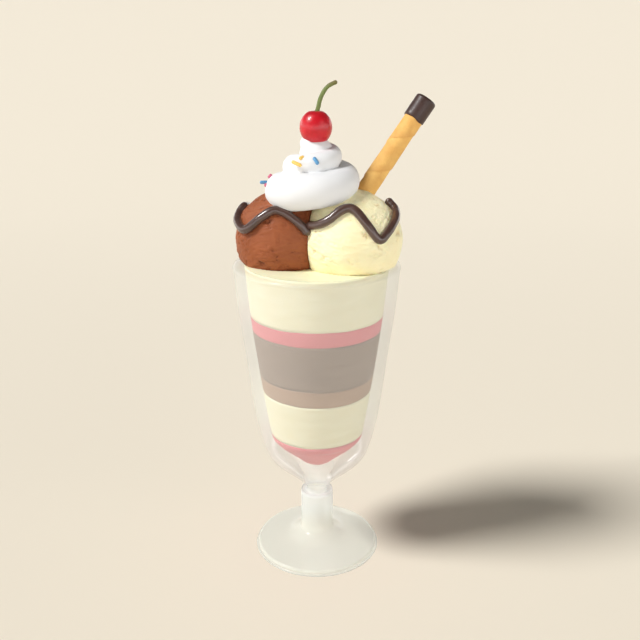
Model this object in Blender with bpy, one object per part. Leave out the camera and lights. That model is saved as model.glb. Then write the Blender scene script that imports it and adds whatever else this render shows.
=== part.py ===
"""Ice cream sundae in its footed glass, at real size.

Metres, +Z up. The origin is the centre of the foot's flat underside, -Y is the front, and the
wafer leans out towards +X. Pieces that touch keep a small clearance, so each stays a solid of
its own.
"""

import math

import bmesh
import bpy
from mathutils import Vector

MM = 0.001
GAP = 0.3 * MM  # clearance between two pieces that touch
WELD = 0.001 * MM  # points this close are one point
SIDES = 32  # facets round the glass and the layers
SHARP_ANGLE = math.radians(35)

# The glass: its foot, stem, neck and rim. Stations (radius, height) run up the foot's slope to
# the stem, and up the bowl's outside.
FOOT_RADIUS = 35.9 * MM
FOOT_EDGE = 3.0 * MM
FOOT_SLOPE = [(28.8, 3.8), (17.3, 6.1), (9.6, 10.6)]
STEM_RADIUS = 9.6 * MM
STEM_TOP = 35.5 * MM
STEM_ROUNDING = 1.2 * MM
NECK_RADIUS = 6.4 * MM
NECK_STEP = 0.4 * MM  # how far the neck starts above the stem's top
RIM_HEIGHT = 177.6 * MM
RIM_RADIUS = 46.0 * MM
RIM_ROUNDING = (2.8 * MM, 2.2 * MM)  # how far in and how far down the outer edge rounds off
RIM_SLOPE = 1.0 * MM  # from the flat top down to the filling
OVERHANG = 20.0 * MM  # no scoop hangs out further past the rim
BOWL_OUTSIDE = [
    (6.4, 38.0), (9.0, 42.5), (16.5, 50.0), (27.0, 60.0), (31.8, 71.0),
    (36.2, 92.0), (40.6, 127.7), (43.6, 150.5), (45.6, 174.0),
]

# What the bowl holds: stations (radius, height) up its side, and the top of each layer.
FILLING = [
    (0.0, 52.2), (5.0, 54.5), (13.0, 61.5), (20.5, 68.0), (24.6, 72.2),
    (26.4, 76.8), (30.6, 103.6), (35.6, 140.4), (39.1, 177.2),
]
FILLING_TOP = 177.2 * MM
LAYERS = [
    ("layer_1_strawberry", 76.8 * MM),
    ("layer_2_vanilla", 103.8 * MM),
    ("layer_3_caramel", 113.4 * MM),
    ("layer_4_chocolate", 140.4 * MM),
    ("layer_5_strawberry", 148.7 * MM),
    ("layer_6_vanilla", FILLING_TOP),
]

# The two scoops: centre and radius. They press against each other on a flat face.
CHOCOLATE_CENTRE = Vector((-18.0, 6.0, 189.3)) * MM
CHOCOLATE_RADIUS = 26.6 * MM
VANILLA_CENTRE = Vector((18.7, -2.5, 190.0)) * MM
VANILLA_RADIUS = 27.4 * MM

# Whipped cream: a rope piped in a spiral. Turn 1 is the front of the lowest ring, and each full
# turn anticlockwise from there adds one. The rope's outer reach, height and half width change
# steadily with each turn.
SWIRL_REACH, SWIRL_REACH_STEP = 25.1 * MM, -9.5 * MM
SWIRL_HEIGHT, SWIRL_RISE = 219.1 * MM, 12.7 * MM
SWIRL_WIDTH, SWIRL_WIDTH_STEP = 7.9 * MM, -2.9 * MM
SWIRL_TALLNESS = 1.18  # the rope's section is this much taller than it is wide
SWIRL_START, SWIRL_END = 0.40, 2.90
SWIRL_ROUNDING = 0.18  # part of a turn over which the rope's start rounds off
SWIRL_WIDEST = 0.70  # before this turn the rope grows no wider and no thicker
CREAM_CORE = [  # ellipses about the axis: height of the centre, half width, half height
    (221.0 * MM, 13.0 * MM, 12.0 * MM),
    (235.0 * MM, 9.0 * MM, 10.0 * MM),
]
CREAM_CENTRE = 221.0 * MM
CREAM_COLUMNS, CREAM_ROWS = 40, 26

# Cherry and stalk.
CHERRY_CENTRE = Vector((-0.3, -1.0, 249.4)) * MM
CHERRY_RADIUS = 8.3 * MM
CHERRY_DIMPLE, CHERRY_DIMPLE_WIDTH = 1.3 * MM, 2.8 * MM
CHERRY_SIDES, CHERRY_ROWS = 20, 12
STALK_ROUTE = [(0.3, 257.1), (1.0, 259.7), (1.8, 263.0), (3.5, 266.7), (6.1, 269.8), (10.6, 272.1)]
STALK_RADIUS = 1.12 * MM
STALK_TAPER = (1.08, 0.94)  # the radius at the foot and at the tip, in shares of STALK_RADIUS

# Rolled wafer, dipped in chocolate at its top end.
WAFER_ENTRY = Vector((27.6, 5.0, 217.6)) * MM
WAFER_LEAN = Vector((0.554, 0.094, 0.827)).normalized()
WAFER_RADIUS = 5.4 * MM
WAFER_ROUNDING = 0.5 * MM
WAFER_BURIED = 17.0 * MM
WAFER_SHOWN = 42.7 * MM
DIP_LENGTH = 12.3 * MM
DIP_RADIUS = 5.85 * MM
DIP_ROUNDING = 1.4 * MM

# Chocolate sauce: zigzag ropes over the scoops. Azimuth runs from the front towards +X.
SAUCE_RADIUS = 2.25 * MM
SAUCE_LIFT = 1.2 * MM  # how far the rope's centre line stands off the scoop
SAUCE_LEFT = [
    (-126, 33), (-112, 36), (-98, 37.5), (-88, 29.5), (-66, 21.5), (-46, 18.5), (-29, 33),
    (-13, 43.2), (2, 41.3), (14, 34), (25, 23.5), (32, 13),
]
SAUCE_RIGHT = [
    (-62, 22.5), (-45, 25.2), (-31, 32.5), (-19, 43.5), (-6, 47.6), (5, 42.5), (16, 28),
    (25, 14.5), (31, 12), (39, 17), (54, 25.5), (72, 32.5), (91, 38), (97, 50),
]


def material(name, colour, roughness, alpha=1.0):
    shade = bpy.data.materials.new(name)
    shade.use_nodes = True
    shader = shade.node_tree.nodes["Principled BSDF"]
    shader.inputs["Base Color"].default_value = (*colour, 1.0)
    shader.inputs["Roughness"].default_value = roughness
    shader.inputs["Metallic"].default_value = 0.0
    shader.inputs["Alpha"].default_value = alpha
    return shade


def place(name, mesh, shade, location=(0, 0, 0)):
    """An object in the scene, shaded smooth, under the empty that carries the whole sundae."""
    obj = bpy.data.objects.new(name, mesh)
    bpy.context.collection.objects.link(obj)
    obj.location = location
    obj.parent = bpy.data.objects["sundae"]
    if shade:
        mesh.materials.append(shade)
    mesh.shade_smooth()
    mesh.set_sharp_from_angle(angle=SHARP_ANGLE)
    return obj


def as_mesh(name, bm):
    bmesh.ops.recalc_face_normals(bm, faces=bm.faces)
    mesh = bpy.data.meshes.new(name)
    bm.to_mesh(mesh)
    bm.free()
    return mesh


def as_cutter(obj):
    obj.hide_render = True
    obj.display_type = "WIRE"
    return obj


def cut(obj, *cutters):
    for cutter in cutters:
        boolean = obj.modifiers.new("cut by " + cutter.name, "BOOLEAN")
        boolean.operation = "DIFFERENCE"
        boolean.solver = "EXACT"
        boolean.object = cutter


def through(points, steps):
    """A smooth curve through the points, with this many steps from each to the next."""
    points = [Vector(point) for point in points]
    ends = [2 * points[0] - points[1], *points, 2 * points[-1] - points[-2]]
    curve = []
    for before, start, end, after in zip(ends, ends[1:], ends[2:], ends[3:]):
        for step in range(steps):
            t = step / steps
            curve.append(
                start
                + (end - before) * t / 2
                + (before - 2.5 * start + 2 * end - after / 2) * t**2
                + (1.5 * (start - end) + (after - before) / 2) * t**3
            )
    return curve + [points[-1]]


def arc(centre, radii, start, end, steps):
    """Points (radius, height) along an arc of an ellipse, between two angles in degrees."""
    angles = [math.radians(start + (end - start) * i / steps) for i in range(steps + 1)]
    return [
        (centre[0] + radii[0] * math.cos(angle), centre[1] + radii[1] * math.sin(angle))
        for angle in angles
    ]


def turned(name, profile, sides=SIDES, ring_shaped=False):
    """A solid of revolution about Z. Its profile of (radius, height) starts and ends on the axis,
    or goes all round a ring's section.
    """
    bm = bmesh.new()
    ring = [bm.verts.new((radius, 0, height)) for radius, height in profile]
    followers = ring[1:] + ring[:1] if ring_shaped else ring[1:]
    edges = [bm.edges.new(pair) for pair in zip(ring, followers)]
    bmesh.ops.spin(
        bm, geom=ring + edges, cent=(0, 0, 0), axis=(0, 0, 1), angle=math.tau, steps=sides,
        use_merge=True,
    )
    bmesh.ops.remove_doubles(bm, verts=bm.verts, dist=WELD)
    return as_mesh(name, bm)


def tube(name, points, radius, taper=(1.0, 1.0)):
    """A round rope along the points, closed at both ends. Taper scales its radius at each end."""
    curve = bpy.data.curves.new(name, "CURVE")
    curve.dimensions = "3D"
    curve.bevel_depth = radius
    curve.bevel_resolution = 2
    curve.use_fill_caps = True
    spline = curve.splines.new("POLY")
    spline.points.add(len(points) - 1)
    for i, (knot, point) in enumerate(zip(spline.points, points)):
        knot.co = (*point, 1.0)
        knot.radius = taper[0] + (taper[1] - taper[0]) * i / (len(points) - 1)
    guide = bpy.data.objects.new(name, curve)
    bpy.context.collection.objects.link(guide)
    graph = bpy.context.evaluated_depsgraph_get()
    mesh = bpy.data.meshes.new_from_object(guide.evaluated_get(graph))
    bpy.data.objects.remove(guide)
    bm = bmesh.new()
    bm.from_mesh(mesh)
    bmesh.ops.remove_doubles(bm, verts=bm.verts, dist=WELD)
    bpy.data.meshes.remove(mesh)
    return as_mesh(name, bm)


def ball(name, radius, columns=26, rows=15):
    bm = bmesh.new()
    bmesh.ops.create_uvsphere(bm, u_segments=columns, v_segments=rows, radius=radius)
    return as_mesh(name, bm)


def filling_side():
    """The side of the filling as (radius, height), from the tip at the bottom to its top."""
    return [tuple(point * MM) for point in through(FILLING, 2)]


def filling_radius(height):
    side = filling_side()
    for (r0, z0), (r1, z1) in zip(side, side[1:]):
        if height <= z1:
            return r0 + (r1 - r0) * (height - z0) / (z1 - z0)
    return side[-1][0]


def bowl_inside(clearance):
    """The filling's side moved outwards by a clearance, and down at its tip."""
    side = filling_side()
    return [(0.0, side[0][1] - clearance)] + [
        (radius + clearance, height - clearance * (1 - height / FILLING_TOP))
        for radius, height in side[1:]
    ]


def rim_line(clearance):
    """The rim moved out by a clearance: round its outer edge, then in over its flat top."""
    across, down = RIM_ROUNDING
    centre = (RIM_RADIUS - across, RIM_HEIGHT - down)
    edge = arc(centre, (across + clearance, down + clearance), 0, 90, 4)
    return edge + [(filling_radius(FILLING_TOP) + GAP + RIM_SLOPE, RIM_HEIGHT + clearance)]


def glass_profile():
    foot = [(0.0, 0.0), (FOOT_RADIUS - FOOT_EDGE / 2, 0.0)]
    foot += arc((FOOT_RADIUS - FOOT_EDGE / 2, FOOT_EDGE / 2), (FOOT_EDGE / 2,) * 2, -45, 90, 3)
    slope = [tuple(point * MM) for point in through(FOOT_SLOPE, 2)]
    stem = [
        (STEM_RADIUS, STEM_TOP - STEM_ROUNDING),
        (STEM_RADIUS - STEM_ROUNDING, STEM_TOP),
        (NECK_RADIUS, STEM_TOP + NECK_STEP),
    ]
    outside = [tuple(point * MM) for point in through(BOWL_OUTSIDE, 2)]
    return foot + slope + stem + outside + rim_line(0) + bowl_inside(GAP)[::-1]


def build_glass(shade):
    return place("glass", turned("glass", glass_profile()), shade)


def build_layers(shades):
    """The layers, each a slice of the filling with a clearance to the next."""
    side = filling_side()
    made = []
    bottom = side[0][1]
    for name, top in LAYERS:
        low = bottom if not made else bottom + GAP / 2
        high = top - GAP / 2 if top < FILLING_TOP else top
        profile = [(0.0, low)]
        if made:
            profile.append((filling_radius(low), low))
        profile += [point for point in side if low + GAP < point[1] < high - GAP]
        profile += [(filling_radius(high), high), (0.0, high)]
        made.append(place(name, turned(name, profile), shades[name]))
        bottom = top
    return made


def rim_cutter():
    """The glass near its rim with a clearance all round it, out past the scoops' overhang."""
    low = LAYERS[-2][1]
    inner = [(r - GAP, z) for r, z in bowl_inside(GAP) if z > low]
    rim = rim_line(GAP)[::-1]
    outer = RIM_RADIUS + OVERHANG
    profile = [*inner, *rim, (outer, rim[-1][1]), (outer, inner[0][1])]
    mesh = turned("rim_cutter", profile, ring_shaped=True)
    return as_cutter(place("rim_cutter", mesh, None))


def pressed_ball(name, centre, radius, other_centre, other_radius):
    """A ball cut flat where it meets its neighbour, half the clearance short of the shared plane."""
    across = other_centre - centre
    span = across.length
    reach = (span**2 + radius**2 - other_radius**2) / (2 * span) - GAP / 2
    bm = bmesh.new()
    bm.from_mesh(ball(name, radius))
    bmesh.ops.bisect_plane(
        bm, geom=bm.verts[:] + bm.edges[:] + bm.faces[:], plane_co=across / span * reach,
        plane_no=across, clear_outer=True,
    )
    rim = [edge for edge in bm.edges if edge.is_boundary]
    bmesh.ops.contextual_create(bm, geom=rim)
    return as_mesh(name, bm)


def build_scoops(shades):
    sizes = {
        "scoop_chocolate": (CHOCOLATE_CENTRE, CHOCOLATE_RADIUS),
        "scoop_vanilla": (VANILLA_CENTRE, VANILLA_RADIUS),
    }
    scoops = []
    for name, other in (("scoop_chocolate", "scoop_vanilla"), ("scoop_vanilla", "scoop_chocolate")):
        mesh = pressed_ball(name, *sizes[name], *sizes[other])
        scoops.append(place(name, mesh, shades[name], sizes[name][0]))
    return scoops


def scoop_cutters():
    made = []
    for name, centre, radius in (
        ("chocolate_cutter", CHOCOLATE_CENTRE, CHOCOLATE_RADIUS),
        ("vanilla_cutter", VANILLA_CENTRE, VANILLA_RADIUS),
    ):
        made.append(as_cutter(place(name, ball(name, radius + GAP), None, centre)))
    return made


def swirl_section(turn):
    """The rope's section at this turn: centre (radius, height), half width and half height."""
    steps = turn - 1
    wide = max(turn, SWIRL_WIDEST) - 1
    width = SWIRL_WIDTH + SWIRL_WIDTH_STEP * wide
    radius = SWIRL_REACH + SWIRL_REACH_STEP * wide - width
    grown = min(1.0, max(0.0, (turn - SWIRL_START) / SWIRL_ROUNDING))
    size = math.sqrt(1 - (1 - grown) ** 2)
    core = CREAM_CORE[0][1] / 2
    centre = (core + (radius - core) * size, SWIRL_HEIGHT + SWIRL_RISE * steps)
    return centre, (width * size, width * SWIRL_TALLNESS * size)


def reach_of_ellipse(direction, centre, radii):
    """How far a ray from the cream's centre goes before it leaves the ellipse, or 0 if it misses."""
    if min(radii) <= 0:
        return 0.0
    dx, dz = direction[0] / radii[0], direction[1] / radii[1]
    ox, oz = -centre[0] / radii[0], (CREAM_CENTRE - centre[1]) / radii[1]
    a = dx * dx + dz * dz
    b = dx * ox + dz * oz
    root = b * b - a * (ox * ox + oz * oz - 1)
    return max(0.0, (-b + math.sqrt(root)) / a) if root > 0 else 0.0


def cream_reach(azimuth, elevation):
    direction = (math.cos(elevation), math.sin(elevation))
    reaches = [
        reach_of_ellipse(direction, (0.0, height), (half, tall)) for height, half, tall in CREAM_CORE
    ]
    first = (azimuth / math.tau + 0.25) % 1.0
    for whole in range(4):
        turn = first + whole
        if SWIRL_START < turn < SWIRL_END:
            reaches.append(reach_of_ellipse(direction, *swirl_section(turn)))
    return max(reaches)


def cream_mesh():
    """A closed skin: one point on each ray from the cream's centre, where the ray leaves it."""
    bm = bmesh.new()
    rows = []
    for i in range(CREAM_ROWS + 1):
        elevation = math.pi * (i / CREAM_ROWS - 0.5)
        columns = CREAM_COLUMNS if 0 < i < CREAM_ROWS else 1
        row = []
        for j in range(columns):
            azimuth = math.tau * j / CREAM_COLUMNS
            reach = cream_reach(azimuth, elevation)
            flat = reach * math.cos(elevation)
            height = CREAM_CENTRE + reach * math.sin(elevation)
            row.append(bm.verts.new((flat * math.cos(azimuth), flat * math.sin(azimuth), height)))
        rows.append(row)
    for low, high in zip(rows, rows[1:]):
        for j in range(CREAM_COLUMNS):
            k = j + 1
            corners = [low[j % len(low)], low[k % len(low)], high[k % len(high)], high[j % len(high)]]
            bm.faces.new(list(dict.fromkeys(corners)))
    return as_mesh("whipped_cream", bm)


def cherry_mesh(name, swell=0.0):
    """A cherry, dimpled on top. Swell makes a fatter copy with no dimple, to cut with."""
    radius = CHERRY_RADIUS + swell
    profile = []
    for i in range(CHERRY_ROWS + 1):
        angle = math.radians(-90 + 180 * i / CHERRY_ROWS)
        flat = radius * math.cos(angle)
        height = radius * math.sin(angle)
        if angle > 0 and not swell:
            height -= CHERRY_DIMPLE * math.exp(-((flat / CHERRY_DIMPLE_WIDTH) ** 2))
        profile.append((max(flat, 0.0), height))
    profile[0] = (0.0, profile[0][1])
    profile[-1] = (0.0, profile[-1][1])
    return turned(name, profile, CHERRY_SIDES)


def stalk_route():
    points = [Vector((x, CHERRY_CENTRE.y / MM, z)) * MM for x, z in STALK_ROUTE]
    return through(points, 4)


def rod(name, start, end, radius, rounding, shade, sides=20):
    """A round rod between two points, with its edges rounded over."""
    length = (end - start).length
    profile = [(0.0, 0.0)]
    profile += arc((radius - rounding, rounding), (rounding, rounding), -90, 0, 2)
    profile += arc((radius - rounding, length - rounding), (rounding, rounding), 0, 90, 2)
    profile.append((0.0, length))
    obj = place(name, turned(name, profile, sides), shade, start)
    obj.rotation_euler = (end - start).to_track_quat("Z", "Y").to_euler()
    return obj


def sauce_route(path, centre, radius):
    """A path of angles laid over its scoop, then pushed clear of both scoops."""
    route = []
    for azimuth, elevation in through(path, 3):
        across, up = math.radians(azimuth), math.radians(elevation)
        outward = Vector((math.sin(across), -math.cos(across), math.tan(up))).normalized()
        point = centre + outward * (radius + SAUCE_LIFT)
        for middle, reach in ((CHOCOLATE_CENTRE, CHOCOLATE_RADIUS), (VANILLA_CENTRE, VANILLA_RADIUS)):
            away = point - middle
            if away.length < reach + SAUCE_LIFT:
                point = middle + away.normalized() * (reach + SAUCE_LIFT)
        route.append(point)
    return route


def build_sauces(shade):
    """The two ropes of sauce, and a fatter copy of each to cut its neighbours with."""
    made, cutters = [], []
    for name, path, centre, radius in (
        ("sauce_left", SAUCE_LEFT, CHOCOLATE_CENTRE, CHOCOLATE_RADIUS),
        ("sauce_right", SAUCE_RIGHT, VANILLA_CENTRE, VANILLA_RADIUS),
    ):
        route = sauce_route(path, centre, radius)
        made.append(place(name, tube(name, route, SAUCE_RADIUS), shade))
        fat = tube(name + "_cutter", route, SAUCE_RADIUS + GAP)
        cutters.append(as_cutter(place(name + "_cutter", fat, None)))
    return made, cutters


def build_wafer(shades):
    """The wafer, its chocolate dip, and a cutter that clears the wafer all along."""
    foot = WAFER_ENTRY - WAFER_LEAN * WAFER_BURIED
    top = WAFER_ENTRY + WAFER_LEAN * WAFER_SHOWN
    rod("wafer_stick", foot, top, WAFER_RADIUS, WAFER_ROUNDING, shades["wafer_stick"])
    dip_foot = top + WAFER_LEAN * GAP
    dip_top = top + WAFER_LEAN * DIP_LENGTH
    rod("wafer_dip", dip_foot, dip_top, DIP_RADIUS, DIP_ROUNDING, shades["wafer_dip"])
    low = foot - WAFER_LEAN * GAP
    clear = rod("wafer_cutter", low, top, WAFER_RADIUS + GAP, WAFER_ROUNDING, None)
    return as_cutter(clear)


SHADES = {
    "glass": ((0.86, 0.90, 0.88), 0.05, 0.30),
    "layer_1_strawberry": ((0.86, 0.36, 0.36), 0.60),
    "layer_2_vanilla": ((0.92, 0.87, 0.64), 0.60),
    "layer_3_caramel": ((0.60, 0.42, 0.30), 0.60),
    "layer_4_chocolate": ((0.42, 0.34, 0.28), 0.60),
    "layer_5_strawberry": ((0.86, 0.36, 0.36), 0.60),
    "layer_6_vanilla": ((0.92, 0.87, 0.64), 0.60),
    "scoop_chocolate": ((0.36, 0.12, 0.05), 0.60),
    "scoop_vanilla": ((0.95, 0.88, 0.58), 0.60),
    "whipped_cream": ((0.94, 0.93, 0.90), 0.50),
    "cherry": ((0.65, 0.02, 0.04), 0.15),
    "cherry_stalk": ((0.12, 0.18, 0.05), 0.60),
    "wafer_stick": ((0.80, 0.46, 0.15), 0.70),
    "wafer_dip": ((0.08, 0.04, 0.03), 0.30),
    "sauce": ((0.08, 0.04, 0.03), 0.20),
}


def main():
    for obj in list(bpy.data.objects):
        bpy.data.objects.remove(obj)
    bpy.context.collection.objects.link(bpy.data.objects.new("sundae", None))
    shades = {name: material(name, *finish) for name, finish in SHADES.items()}

    build_glass(shades["glass"])
    top_layer = build_layers(shades)[-1]
    scoops = build_scoops(shades)
    scoop_shapes = scoop_cutters()
    wafer_shape = build_wafer(shades)
    sauces, sauce_shapes = build_sauces(shades["sauce"])
    cream = place("whipped_cream", cream_mesh(), shades["whipped_cream"])
    place("cherry", cherry_mesh("cherry"), shades["cherry"], CHERRY_CENTRE)
    cherry_shape = as_cutter(
        place("cherry_cutter", cherry_mesh("cherry_cutter", GAP), None, CHERRY_CENTRE)
    )
    stalk = tube("cherry_stalk", stalk_route(), STALK_RADIUS, STALK_TAPER)
    place("cherry_stalk", stalk, shades["cherry_stalk"])

    cut(top_layer, *scoop_shapes)
    rim_shape = rim_cutter()
    for scoop in scoops:
        cut(scoop, rim_shape)
    cut(scoops[1], wafer_shape)
    for sauce in sauces:
        cut(sauce, *scoop_shapes)
    cut(sauces[1], sauce_shapes[0])
    cut(cream, *scoop_shapes, wafer_shape, cherry_shape, *sauce_shapes)


main()
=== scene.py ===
import math

import bmesh
import bpy
import numpy as np
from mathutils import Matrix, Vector


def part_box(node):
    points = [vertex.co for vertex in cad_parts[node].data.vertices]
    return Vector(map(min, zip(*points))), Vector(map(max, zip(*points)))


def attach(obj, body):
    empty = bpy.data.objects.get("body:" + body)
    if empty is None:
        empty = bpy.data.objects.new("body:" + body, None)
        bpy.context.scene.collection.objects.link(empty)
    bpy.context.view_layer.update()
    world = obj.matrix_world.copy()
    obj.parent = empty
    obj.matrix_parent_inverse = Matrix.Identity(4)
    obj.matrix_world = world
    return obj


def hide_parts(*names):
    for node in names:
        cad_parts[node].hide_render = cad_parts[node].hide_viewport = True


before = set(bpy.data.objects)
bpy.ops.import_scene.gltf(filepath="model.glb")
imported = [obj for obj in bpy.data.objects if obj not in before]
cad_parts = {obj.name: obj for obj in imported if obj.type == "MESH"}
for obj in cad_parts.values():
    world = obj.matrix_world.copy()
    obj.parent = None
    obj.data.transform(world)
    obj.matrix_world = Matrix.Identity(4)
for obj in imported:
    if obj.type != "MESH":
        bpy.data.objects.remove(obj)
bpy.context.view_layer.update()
mm = 0.001


class Wire:
    # one output socket; arithmetic on it adds Math nodes to its tree
    def __init__(self, nodes, socket):
        self.nodes = nodes
        self.socket = socket

    def __add__(self, other):
        return self.nodes.math("ADD", self, other)

    def __radd__(self, other):
        return self.nodes.math("ADD", other, self)

    def __sub__(self, other):
        return self.nodes.math("SUBTRACT", self, other)

    def __rsub__(self, other):
        return self.nodes.math("SUBTRACT", other, self)

    def __mul__(self, other):
        return self.nodes.math("MULTIPLY", self, other)

    def __rmul__(self, other):
        return self.nodes.math("MULTIPLY", other, self)

    def __truediv__(self, other):
        return self.nodes.math("DIVIDE", self, other)

    def __rtruediv__(self, other):
        return self.nodes.math("DIVIDE", other, self)

    def __pow__(self, power):
        return self.nodes.math("POWER", self, power)


class Nodes:
    # adds nodes to one tree, of a material or of Geometry Nodes
    def __init__(self, tree):
        self.tree = tree

    def node(self, kind, settings=None, values=None, output=0):
        made = self.tree.nodes.new(kind)
        for name, setting in (settings or {}).items():
            if name == "stops":
                self.setStops(made.color_ramp.elements, setting)
            else:
                setattr(made, name, setting)
        for name, value in (values or {}).items():
            self.feed(made.inputs[name], value)
        return Wire(self, made.outputs[output])

    def setStops(self, elements, stops):
        while len(elements) < len(stops):
            elements.new(1.0)
        for element, (position, colour) in zip(elements, stops):
            element.position = position
            element.color = (*colour, 1.0) if len(colour) == 3 else colour

    def feed(self, socket, value):
        if isinstance(value, Wire):
            self.tree.links.new(value.socket, socket)
        else:
            socket.default_value = value

    def math(self, operation, first, second=0.0):
        return self.node("ShaderNodeMath", {"operation": operation}, {0: first, 1: second})

    def vector(self, operation, first, second):
        return self.node("ShaderNodeVectorMath", {"operation": operation}, {0: first, 1: second})

    def scaled(self, vector, factor):
        values = {"Vector": vector, "Scale": factor}
        return self.node("ShaderNodeVectorMath", {"operation": "SCALE"}, values)

    def joined(self, x, y, z):
        return self.node("ShaderNodeCombineXYZ", values={"X": x, "Y": y, "Z": z})

    def parts(self, vector):
        split = self.node("ShaderNodeSeparateXYZ", values={"Vector": vector})
        return [Wire(self, socket) for socket in split.socket.node.outputs]

    def clamped(self, value, low=0.0, high=1.0):
        settings = {"clamp_type": "MINMAX"}
        return self.node("ShaderNodeClamp", settings, {"Value": value, "Min": low, "Max": high})

    def noiseAt(self, place, size, detail=2.0, roughness=0.5, distortion=0.0):
        # fractal noise from 0 to 1, whose lumps are about this size in metres
        values = {
            "Vector": place, "Scale": 1 / size, "Detail": detail,
            "Roughness": roughness, "Distortion": distortion,
        }
        return self.node("ShaderNodeTexNoise", values=values)


class Finish(Nodes):
    # one material: constants go on the shader's own sockets, and what varies is wired in
    def __init__(self, name, **constants):
        self.material = bpy.data.materials.new(name)
        self.material.use_nodes = True
        Nodes.__init__(self, self.material.node_tree)
        self.shader = self.tree.nodes["Principled BSDF"]
        for label, value in constants.items():
            self.shader.inputs[label.replace("_", " ")].default_value = value
        self.place = self.node("ShaderNodeTexCoord", output="Object")

    def moved(self, turn=(0, 0, 0), scale=(1, 1, 1)):
        # the piece's coordinates turned and stretched, so that a pattern runs its own way
        values = {"Vector": self.place, "Rotation": turn, "Scale": scale}
        return self.node("ShaderNodeMapping", values=values)

    def noise(self, size, **more):
        return self.noiseAt(self.place, size, **more)

    def span(self, value, low, high, toLow=0.0, toHigh=1.0):
        values = {"Value": value, 1: low, 2: high, 3: toLow, 4: toHigh}
        return self.node("ShaderNodeMapRange", values=values)

    def mixed(self, factor, first, second):
        first, second = [c if isinstance(c, Wire) else (*c, 1.0) for c in (first, second)]
        values = {0: factor, 6: first, 7: second}
        return self.node("ShaderNodeMix", {"data_type": "RGBA"}, values, output=2)

    def bumps(self, height, depth, under=None):
        values = {"Height": height, "Distance": depth}
        if under:
            values["Normal"] = under
        return self.node("ShaderNodeBump", values=values)

    def wear(self, **wires):
        for label, value in wires.items():
            self.feed(self.shader.inputs[label.replace("_", " ")], value)
        return self.material


class Grower(Nodes):
    # a Geometry Nodes tree with named inputs, which makes one piece's plain mesh
    kinds = {float: "NodeSocketFloat", int: "NodeSocketInt", type(None): "NodeSocketMaterial"}

    def __init__(self, name, **inputs):
        self.group = bpy.data.node_groups.new(name, "GeometryNodeTree")
        Nodes.__init__(self, self.group)
        sockets = self.group.interface
        sockets.new_socket("Geometry", in_out="INPUT", socket_type="NodeSocketGeometry")
        sockets.new_socket("Geometry", in_out="OUTPUT", socket_type="NodeSocketGeometry")
        for label, value in {**inputs, "finish": None}.items():
            kind = self.kinds[type(value)]
            socket = sockets.new_socket(label, in_out="INPUT", socket_type=kind)
            if value is not None:
                socket.default_value = value
        self.entry = self.tree.nodes.new("NodeGroupInput")
        self.given = {socket.name: Wire(self, socket) for socket in self.entry.outputs[:-1]}
        self.place = self.node("GeometryNodeInputPosition")

    def close(self, geometry):
        # the end of every tree: instances realized, the piece's material set
        realized = self.node("GeometryNodeRealizeInstances", values={"Geometry": geometry})
        values = {"Geometry": realized, "Material": self.given["finish"]}
        painted = self.node("GeometryNodeSetMaterial", values=values)
        self.feed(self.tree.nodes.new("NodeGroupOutput").inputs[0], painted)
        return self

    def grow(self, name, start=None, **sizes):
        # runs the tree on a start mesh and leaves a plain mesh object in its place
        obj = addPiece(name, start or bpy.data.meshes.new(name))
        modifier = obj.modifiers.new("grow", "NODES")
        modifier.node_group = self.group
        for item in self.group.interface.items_tree:
            if item.in_out == "INPUT" and item.name in sizes:
                modifier[item.identifier] = sizes[item.name]
        settle(obj)
        return obj


def addPiece(name, mesh):
    obj = bpy.data.objects.new(name, mesh)
    bpy.context.scene.collection.objects.link(obj)
    return obj


def settle(obj):
    # the object's modifiers become its plain mesh
    graph = bpy.context.evaluated_depsgraph_get()
    mesh = bpy.data.meshes.new_from_object(obj.evaluated_get(graph))
    obj.modifiers.clear()
    obj.data = mesh
    mesh.shade_smooth()


def hand(obj, finish, slot, *nodes):
    # the piece gets its material, rides with the sundae and stands for its CAD nodes
    if not obj.data.materials:
        obj.data.materials.append(finish)
    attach(obj, "root")
    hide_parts(*nodes)
    print("made", obj.name, len(obj.data.polygons), "faces")


def pointsOf(mesh):
    flat = np.empty(len(mesh.vertices) * 3)
    mesh.vertices.foreach_get("co", flat)
    return flat.reshape(-1, 3)


def movePoints(mesh, points):
    mesh.vertices.foreach_set("co", np.asarray(points, np.float32).ravel())
    mesh.update()


def skinOver(rows, name):
    # a closed skin over rings of points, whose first and last rings are one point each
    bm = bmesh.new()
    rings = [[bm.verts.new(point) for point in row] for row in rows]
    columns = max(len(ring) for ring in rings)
    for low, high in zip(rings, rings[1:]):
        for j in range(columns):
            k = j + 1
            corners = [low[j % len(low)], low[k % len(low)], high[k % len(high)], high[j % len(high)]]
            bm.faces.new(list(dict.fromkeys(corners)))
    bmesh.ops.recalc_face_normals(bm, faces=bm.faces)
    mesh = bpy.data.meshes.new(name)
    bm.to_mesh(mesh)
    bm.free()
    mesh.shade_smooth()
    return mesh


def turnedSkin(name, profile, sides):
    # a body of revolution about Z from (radius, height) points that start and end on the axis
    rows = []
    for radius, height in profile:
        count = sides if radius > 1e-7 else 1
        angles = [math.tau * j / sides for j in range(count)]
        rows.append([(radius * math.cos(a), radius * math.sin(a), height) for a in angles])
    return skinOver(rows, name)


def through(points, steps):
    # a smooth curve through the points, with this many steps from each to the next
    points = [np.array(point, float) for point in points]
    ends = [2 * points[0] - points[1], *points, 2 * points[-1] - points[-2]]
    curve = []
    for before, start, end, after in zip(ends, ends[1:], ends[2:], ends[3:]):
        for t in np.arange(steps) / steps:
            bend = (before - 2.5 * start + 2 * end - after / 2) * t**2
            twist = (1.5 * (start - end) + (after - before) / 2) * t**3
            curve.append(start + (end - before) * t / 2 + bend + twist)
    return curve + [points[-1]]


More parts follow.
